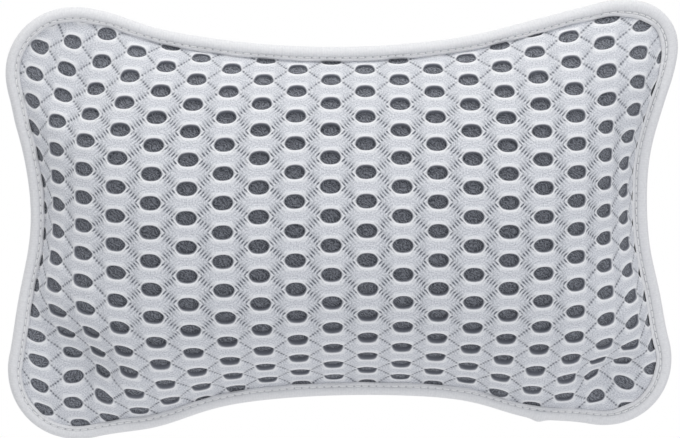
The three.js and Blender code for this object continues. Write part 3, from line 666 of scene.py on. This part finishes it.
section = tape_section()
tape_rows, tape_around = len(section), 1000
x, z, out_x, out_z, run = outline(0.0, tape_around)
length = run[-1] + run[1]
turn = run * 2 * np.pi / length
lap = run[np.argmin(np.where(z < 0, np.hypot(x - lap_x, z - lap_z), np.inf))]
past_lap = (run - lap + length / 2) % length - length / 2
bulge = 1.1 * bell(past_lap, 0, 3.2)
wave = 0.16 * np.sin(turn * 37) + 0.12 * np.sin(turn * 61 + 1.2)
pucker = 0.12 * np.cos(turn * round(length / stitch_pitch))
inset, level = (np.repeat(part[:, None], tape_around, 1) for part in section.T)
outer = (np.arange(tape_rows) < tape_rows - 4)[:, None]
side = np.sign(section[:, 1] - tape_middle)[:, None]
inset = inset + np.where(outer, wave * smooth(inset, 3.5, tape_width) - bulge * (1 - smooth(inset, 0, 3)), 0)
level = level + np.where(outer, side * (pucker * smooth(inset, 2.0, 4.0) + 0.5 * bulge), 0)
# Painted shade greys the tape along the stitch groove
groove_shade = np.where(outer, bell(inset, stitch_inset, 0.35), 0)
front = outer & (side < 0)
inset = inset + np.where(front, rolled_in(x, inset), 0)
# Each inset is a true offset of the outline, since every lobe is rounder than the tape is wide
tape_x, tape_z = x - out_x * inset, z - out_z * inset
level = level - np.where(front, front_height(tape_x, tape_z), 0)
points = np.stack([tape_x, level, tape_z], -1).reshape(-1, 3)
across_tape = np.arange(tape_rows)[:, None] * 0.6
tape_uv = np.stack(np.broadcast_arrays(run, across_tape), -1).reshape(-1, 2)

# White polyester tape: soft and brushed, with a fine fleece and only a trace of its cross ribs, and painted shade
# greying it along the stitch groove
tape, tree = finish_of("white brushed polyester tape")
rib_pitch, fleece_size = 1.2, 1.25
flat = add(tree, "UVMap", uv_map="cloth").outputs["UV"]
parts = add(tree, "SeparateXYZ", {"Vector": flat}).outputs
rib = swing(tree, parts["X"], rib_pitch, "SINE")
tufts = {"Vector": flat, "Scale": 1 / fleece_size, "Detail": 4.0, "Roughness": 0.6}
fleece = add(tree, "TexNoise", tufts).outputs["Fac"]
height = add(tree, "Math", [rib, 0.05, fleece], operation="MULTIPLY_ADD").outputs[0]
pale = add(tree, "MapRange", {"Value": height, "From Min": 0.25, "From Max": 0.75}).outputs["Result"]
# The groove mark paints shade into the stitch groove
painted_groove_shade = add(tree, "Attribute", attribute_name="groove_shade").outputs["Fac"]
tint = linear("#dedee0")
for over, colour in ((pale, "#ededee"), (painted_groove_shade, "#b4b6ba")):
    tint = add(tree, "Mix", {"Factor": over, "A": tint, "B": linear(colour)}, data_type="RGBA").outputs["Result"]
finish = {"Base Color": tint, "Roughness": 0.9, "Sheen Weight": 0.2}
dress(tree, finish, height, strength=0.3, depth=0.4 * MM)

make_piece("edge_binding_tape", filled_out(points), ring_faces(tape_rows, tape_around, closed=True).tolist(), tape,
           "edge_binding", "binding_tape", uv=tape_uv, marks={"groove_shade": groove_shade.ravel()})

# Threads
# White spun polyester: the needle thread lies along the front of the tape and the bobbin thread along its back,
# locked together inside the edge, so that each shows as a row of stitches that dip into the tape.

thread_r, thread_sides, stitch_points = 0.35, 6, 8
in_groove = 0.35  # the threads lie this far below the faces of the tape

# Spun polyester: white with a soft lustre, and a fine twist across the thread, 0.4 mm from band to band
spun, tree = finish_of("spun polyester thread")
place = add(tree, "TexCoord").outputs["Object"]
twist = add(tree, "TexWave", {"Vector": place, "Scale": 900.0, "Distortion": 1.0, "Detail": 1.0},
            wave_type="BANDS", bands_direction="DIAGONAL").outputs["Fac"]
tint = add(tree, "Mix", {"Factor": twist, "A": linear("#ececec"), "B": linear("#fafafa")}, data_type="RGBA")
dress(tree, {"Base Color": tint.outputs["Result"], "Roughness": 0.6}, twist, strength=0.3, depth=0.2 * MM)


def stitch_row(face_y, side):
    """A closed thread round the outline at the stitch inset: a tube whose centre lies on the tape for most of each
    stitch and dips 1 mm into it at the needle holes."""
    count = round(length / stitch_pitch) * stitch_points
    x, z, out_x, out_z, run = outline(stitch_inset, count)
    inward = rolled_in(x, stitch_inset) if side < 0 else 0
    x, z = x - out_x * inward, z - out_z * inward
    beat = np.cos(2 * np.pi * np.arange(count) / stitch_points)
    sink = 1.0 * smooth(beat, 0.55, 1.0) - 0.1
    around = np.linspace(0, 2 * np.pi, thread_sides, endpoint=False)[:, None]
    offset, lift = thread_r * np.cos(around), thread_r * np.sin(around)
    points = np.stack([x + out_x * offset, face_y + side * (thread_r - sink) + lift, z + out_z * offset], -1)
    return filled_out(points.reshape(-1, 3)), ring_faces(thread_sides, count, closed=True).tolist()


make_piece("needle_stitches", *stitch_row(tape_front + in_groove, -1), spun, "needle_thread", "thread")
make_piece("bobbin_stitches", *stitch_row(tape_back - in_groove, 1), spun, "bobbin_thread", "thread")

# Fixings
# Behind each corner a felt patch stiffens the back panel. A moulded white plastic eyelet goes through panel and patch
# and is rolled over a washer inside. The neck of a suction cup, moulded in clear vinyl, turns freely in the eyelet and
# is held by its button head.


def turned(profile, at_x, at_z, steps=64):
    """Piece turned about Y: each pair of radius and Y in a closed or pole-to-pole profile carried round a full
    circle. A radius of nought is a single point."""
    angle = np.linspace(0, 2 * np.pi, steps, endpoint=False)
    radius, level = np.array(profile).T[..., None]
    points = np.stack([at_x + radius * np.cos(angle), level + 0 * angle, at_z + radius * np.sin(angle)], -1)
    rows, closed = len(profile), profile[0][0] > 0
    quads = ring_faces(rows, steps, closed)
    if closed:
        return points.reshape(-1, 3), quads.tolist()
    last = (rows - 1) * steps
    quads = np.where(quads < steps, 0, np.where(quads >= last, last, quads))
    return points.reshape(-1, 3), [list(dict.fromkeys(quad)) for quad in quads.tolist()]


def eased(profile, rounds=2):
    """Profile with its corners cut: each pass puts points a quarter and three quarters along every side, ends kept."""
    points = np.array(profile, float)
    for turn in range(rounds):
        near, far = points[:-1] * 0.75 + points[1:] * 0.25, points[:-1] * 0.25 + points[1:] * 0.75
        points = np.concatenate([points[:1], np.stack([near, far], 1).reshape(-1, 2), points[-1:]])
    return points


def eased_loop(profile, rounds=2):
    """The same for a closed profile, whose first point is also next after its last, with tighter corners."""
    points = np.array(profile, float)
    for turn in range(rounds):
        after = np.roll(points, -1, 0)
        points = np.stack([points * 0.85 + after * 0.15, points * 0.15 + after * 0.85], 1).reshape(-1, 2)
    return points


# Needled polyester felt: matt, off-white, with short tangled fibres
felt, tree = finish_of("needled polyester felt")
tuft_size = 1.11 * MM
place = add(tree, "TexCoord").outputs["Object"]
tufts = {"Vector": place, "Scale": 1 / tuft_size, "Detail": 4.0, "Distortion": 1.0}
tangle = add(tree, "TexNoise", tufts).outputs["Fac"]
tint = add(tree, "Mix", {"Factor": tangle, "A": linear("#cfcfcc"), "B": linear("#e6e6e4")}, data_type="RGBA")
dress(tree, {"Base Color": tint.outputs["Result"], "Roughness": 1.0}, tangle, strength=0.5, depth=0.3 * MM)

# Moulded white polypropylene: smooth, slightly waxy, with a faint moulded grain
plastic, tree = finish_of("moulded white polypropylene")
grain_size, cloud_size = 5 / 7 * MM, 25 / 3 * MM
place = add(tree, "TexCoord").outputs["Object"]
grain = add(tree, "TexNoise", {"Vector": place, "Scale": 1 / grain_size, "Detail": 2.0}).outputs["Fac"]
cloud = add(tree, "TexNoise", {"Vector": place, "Scale": 1 / cloud_size, "Detail": 2.0}).outputs["Fac"]
tint = add(tree, "Mix", {"Factor": cloud, "A": linear("#e9e9e7"), "B": linear("#f1f1ef")}, data_type="RGBA")
rough = add(tree, "MapRange", {"Value": cloud, "To Min": 0.3, "To Max": 0.42}).outputs["Result"]
finish = {"Base Color": tint.outputs["Result"], "Roughness": rough, "IOR": 1.49, "Subsurface Weight": 0.05,
          "Subsurface Radius": (2 * MM, 2 * MM, 2 * MM)}
dress(tree, finish, grain, strength=0.12, depth=0.1 * MM)

# Clear plasticised vinyl: glossy, see-through with a cool tint, with faint ripples from the mould
vinyl, tree = finish_of("clear plasticised vinyl")
ripple_size = 6.25 * MM
place = add(tree, "TexCoord").outputs["Object"]
ripple = add(tree, "TexNoise", {"Vector": place, "Scale": 1 / ripple_size, "Detail": 1.0}).outputs["Fac"]
rough = add(tree, "MapRange", {"Value": ripple, "To Min": 0.06, "To Max": 0.16}).outputs["Result"]
finish = {"Base Color": linear("#e3edf0"), "Roughness": rough, "IOR": 1.53, "Transmission Weight": 0.85}
dress(tree, finish, ripple, strength=0.1, depth=0.3 * MM)

# Profiles as pairs of radius and Y
patch_profile = eased_loop([(6.4, -17.7), (13.0, -17.7), (13.0, -16.9), (6.4, -16.9)])
washer_profile = eased_loop([(6.1, -19.2), (10.5, -19.2), (10.5, -18.0), (6.1, -18.0)])
eyelet_profile = eased_loop([(4.6, -20.4), (7.0, -20.4), (7.0, -19.5), (5.8, -19.5), (5.8, -14.7),
                             (10.5, -14.7), (10.3, -13.9), (9.0, -13.3), (4.6, -13.3)])
head_and_neck = eased([(0.6, -24.3), (4.1, -24.3), (6.6, -22.5), (6.6, -20.7), (4.1, -20.7), (4.1, -13.0),
                       (7.0, -13.0), (7.0, -8.2)])
share = np.linspace(0, 1, 14)
dish_outside = np.stack([7.0 + 16.0 * share, -0.7 - 7.5 * (1 - share**1.7)], -1)
angle = np.linspace(0, np.pi / 2, 20)
dish_inside = np.stack([20.4 * np.cos(angle), -6.0 * np.sin(angle)], -1)
cup_profile = np.concatenate([[(0.0, -24.3)], head_and_neck, dish_outside[1:], [(23.0, -0.1), (22.9, 0.0)],
                              dish_inside[:-1], [(0.0, -6.0)]])
tab_root, tab_end, tab_half = 21.0, 29.5, 4.5  # the release tab's straight stretch and half its width
grip_ribs = np.array([26.5, 28.3, 30.1])


def release_tab(at_x, at_z):
    """Tongue below the lip, 9 mm wide with a round end and three raised grip ribs: a flat grid from the lip outwards
    whose width follows the round end, closed between its two faces."""
    round_end = tab_end + tab_half * np.sin(np.linspace(0.12, 1, 12) * np.pi / 2)
    run = np.concatenate([np.linspace(tab_root, tab_end, 18), round_end])[:, None]
    half = np.sqrt(np.maximum(tab_half**2 - np.maximum(run - tab_end, 0) ** 2, 0.0004))
    side = np.linspace(-1, 1, 9)
    rib = 0.28 * bell(run, grip_ribs, 0.42).sum(1, keepdims=True) * (np.abs(side) < 0.8)
    edge = 0.3 * (np.abs(side) > 0.99) + 0 * run
    tab_x, tab_z = at_x + half * side, at_z - run + 0 * side
    wall_side = np.stack([tab_x, -0.4 - edge, tab_z], -1)
    front_side = np.stack([tab_x, -1.7 + edge - rib, tab_z], -1)
    loop = np.concatenate([wall_side, front_side[:, ::-1]], 1)
    rows, around = loop.shape[:2]
    ends = [list(range(around))[::-1], list(range((rows - 1) * around, rows * around))]
    return loop.reshape(-1, 3), ring_faces(rows, around).tolist() + ends


for corner, (side_x, side_z) in corners.items():
    at = side_x * cup_x, side_z * cup_z
    make_piece(f"felt_patch_{corner}", *turned(patch_profile, *at), felt, f"patch_{corner}", "patch_felt")
    make_piece(f"eyelet_washer_{corner}", *turned(washer_profile, *at), plastic, f"washer_{corner}", "white_plastic")
    make_piece(f"moulded_eyelet_{corner}", *turned(eyelet_profile, *at), plastic, f"eyelet_{corner}", "white_plastic")
    cup_points, cup_faces = turned(cup_profile, *at)
    tab_points, tab_faces = release_tab(*at)
    tab_faces = [[len(cup_points) + i for i in f] for f in tab_faces]
    make_piece(f"vinyl_cup_{corner}", np.concatenate([cup_points, tab_points]), cup_faces + tab_faces, vinyl,
               f"suction_cup_{corner}", "clear_vinyl", body=f"cup_{corner}")

# Stage
# A plain pale floor well below the pillow, which hangs on its cups, a large soft lamp overhead, weaker ones from the
# front and the back, even light all round, and the camera of the photograph.

floor_z, floor_r, floor_rows, floor_around = -0.55, 4.0, 12, 48


def seen_ray(tree):
    """One for the rays that show a thing to the camera: straight, in a reflection or through the clear vinyl."""
    rays = add(tree, "LightPath").outputs
    either = add(tree, "Math", [rays["Is Camera Ray"], rays["Is Glossy Ray"]], operation="MAXIMUM").outputs[0]
    return add(tree, "Math", [either, rays["Is Transmission Ray"]], operation="MAXIMUM").outputs[0]


# White studio paper: lit like paper near the pillow, where it keeps the shadow, and plain white to the camera far off
paper, tree = finish_of("white studio paper")
place = add(tree, "TexCoord").outputs["Object"]
far = add(tree, "VectorMath", [place], operation="LENGTH").outputs["Value"]
fade = add(tree, "MapRange", {"Value": far, "From Min": 0.7, "From Max": 1.75, "To Min": 0.35},
           interpolation_type="SMOOTHSTEP").outputs["Result"]
white_share = add(tree, "Math", [fade, seen_ray(tree)], operation="MULTIPLY").outputs[0]
lit = add(tree, "BsdfDiffuse", {"Color": linear("#f2f2f2")}).outputs[0]
glow = add(tree, "Emission", {"Color": (1, 1, 1, 1), "Strength": 1.0}).outputs[0]
surface = add(tree, "MixShader", [white_share, lit, glow]).outputs[0]
add(tree, "OutputMaterial", {"Surface": surface})

share, angle = np.meshgrid(np.linspace(0.01, 1, floor_rows), np.linspace(0, 2 * np.pi, floor_around, endpoint=False),
                           indexing="ij")
points = np.stack([floor_r * share * np.cos(angle), floor_r * share * np.sin(angle), floor_z + 0 * share], -1)
mesh = bpy.data.meshes.new("studio_floor")
faces = ring_faces(floor_rows, floor_around)[:, ::-1].tolist() + [list(range(floor_around))]
mesh.from_pydata(points.reshape(-1, 3).tolist(), [], faces)
mesh.materials.append(paper)
floor = bpy.data.objects.new("studio_floor", mesh)
bpy.context.scene.collection.objects.link(floor)

world = bpy.data.worlds.new("studio")
bpy.context.scene.world = world
world.use_nodes = True
tree = world.node_tree
tree.nodes.clear()
ambient = add(tree, "Background", {"Color": linear("#f4f6fa"), "Strength": 0.6}).outputs[0]
white = add(tree, "Background", {"Color": (1, 1, 1, 1), "Strength": 1.0}).outputs[0]
sky = add(tree, "MixShader", [seen_ray(tree), ambient, white]).outputs[0]
add(tree, "OutputWorld", {"Surface": sky})


def aimed(place, aim, roll=0.0):
    """Matrix of an object at a place whose -Z axis points at aim, turned about that axis by roll degrees."""
    toward = mathutils.Vector(aim) - mathutils.Vector(place)
    turn = toward.to_track_quat("-Z", "Y").to_matrix().to_4x4()
    return mathutils.Matrix.Translation(place) @ turn @ mathutils.Matrix.Rotation(np.radians(roll), 4, "Z")


for name, place, size, power, colour in (
    ("key_lamp", (-0.15, -0.45, 1.5), 1.2, 12.7, "#fffefb"),
    ("fill_lamp", (0.8, -1.7, 0.1), 1.4, 5.5, "#f8faff"),
    ("back_lamp", (0.3, 1.4, 1.2), 1.2, 5.0, "#ffffff"),
):
    lamp = bpy.data.lights.new(name, "AREA")
    lamp.shape, lamp.size, lamp.energy, lamp.color = "SQUARE", size, power, linear(colour)[:3]
    holder = bpy.data.objects.new(name, lamp)
    bpy.context.scene.collection.objects.link(holder)
    holder.matrix_world = aimed(place, (0, -0.04, 0))

camera = bpy.data.objects.new("photo_camera", bpy.data.cameras.new("photo_camera"))
bpy.context.scene.collection.objects.link(camera)
bpy.context.scene.camera = camera
photo_width, focal_pixels = 680, 1966.0
camera.data.sensor_width = 36.0
camera.data.lens = focal_pixels / photo_width * camera.data.sensor_width
camera.data.clip_start, camera.data.clip_end = 0.01, 50.0
height, bearing, away = np.radians(7.47), np.radians(-4.55), 0.9
aim = np.array([-0.0026, -0.04, 0.0024])
toward_stand = np.array([np.sin(bearing) * np.cos(height), -np.cos(bearing) * np.cos(height), np.sin(height)])
camera.matrix_world = aimed(tuple(aim + away * toward_stand), tuple(aim), roll=-0.44)

bpy.context.scene.view_settings.view_transform = "Standard"
